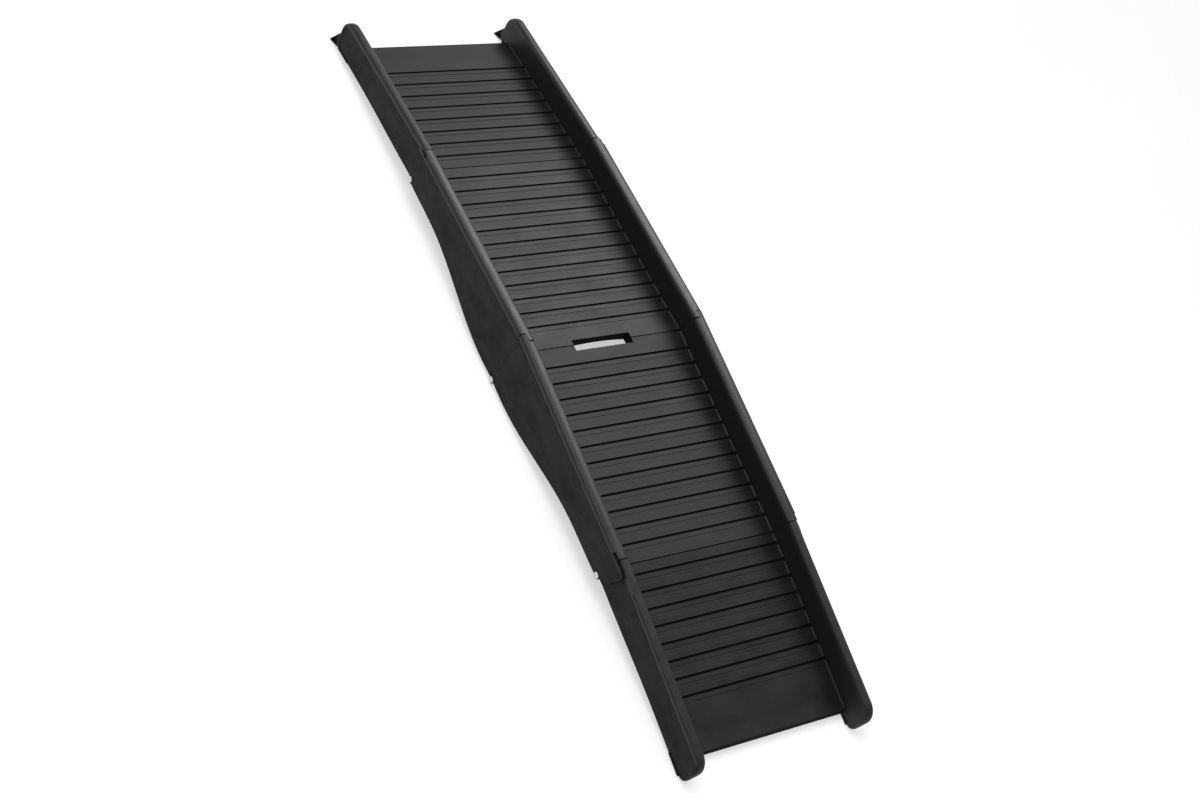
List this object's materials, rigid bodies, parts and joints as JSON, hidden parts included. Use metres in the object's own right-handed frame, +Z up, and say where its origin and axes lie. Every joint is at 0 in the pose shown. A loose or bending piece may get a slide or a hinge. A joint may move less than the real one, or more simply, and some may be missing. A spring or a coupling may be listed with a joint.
{
  "type": "folding dog ramp",
  "caption": "Folding pet ramp: hinged moulded sections with treaded decks and side rails open into a shallow arch and nest together for carrying.",
  "frame": {"origin": "on the floor, under the middle of the open ramp's length, on its centre line", "axes": "+X along the open ramp towards the end with the hook lugs, +Y across it to the left, +Z up"},
  "size_m": [1.5513, 0.398, 0.1415],
  "materials": {
    "ramp_plastic": "fine moulded grain, satin",
    "pin_steel": "zinc plated, satin",
    "clip_steel": "spring steel, satin",
    "foot_rubber": "matt"
  },
  "bodies": {
    "upper_middle": {"upper_middle_section": "ramp_plastic", "pin_upper_left": "pin_steel", "pin_upper_right": "pin_steel", "clip_upper_left": "clip_steel", "clip_upper_right": "clip_steel"},
    "top": {"top_section": "ramp_plastic", "foot_top_left": "foot_rubber", "foot_top_right": "foot_rubber"},
    "lower_middle": {"lower_middle_section": "ramp_plastic", "pin_centre_left": "pin_steel", "pin_centre_right": "pin_steel", "clip_centre_left": "clip_steel", "clip_centre_right": "clip_steel", "pin_lower_left": "pin_steel", "pin_lower_right": "pin_steel", "clip_lower_left": "clip_steel", "clip_lower_right": "clip_steel"},
    "bottom": {"bottom_section": "ramp_plastic", "foot_bottom_left": "foot_rubber", "foot_bottom_right": "foot_rubber"}
  },
  "joints": [
    {"name": "centre_hinge", "type": "hinge", "parent": "upper_middle", "child": "lower_middle", "pos_m": [0.00091, 0, 0.01101], "axis": [0, -1, 0], "range_deg": [0, 168]},
    {"name": "upper_hinge", "type": "hinge", "parent": "upper_middle", "child": "top", "pos_m": [0.40916, 0, 0.04735], "axis": [0, 1, 0], "range_deg": [0, 178]},
    {"name": "lower_hinge", "type": "hinge", "parent": "lower_middle", "child": "bottom", "pos_m": [-0.40768, 0, 0.04337], "axis": [0, -1, 0], "range_deg": [0, 178]}
  ]
}
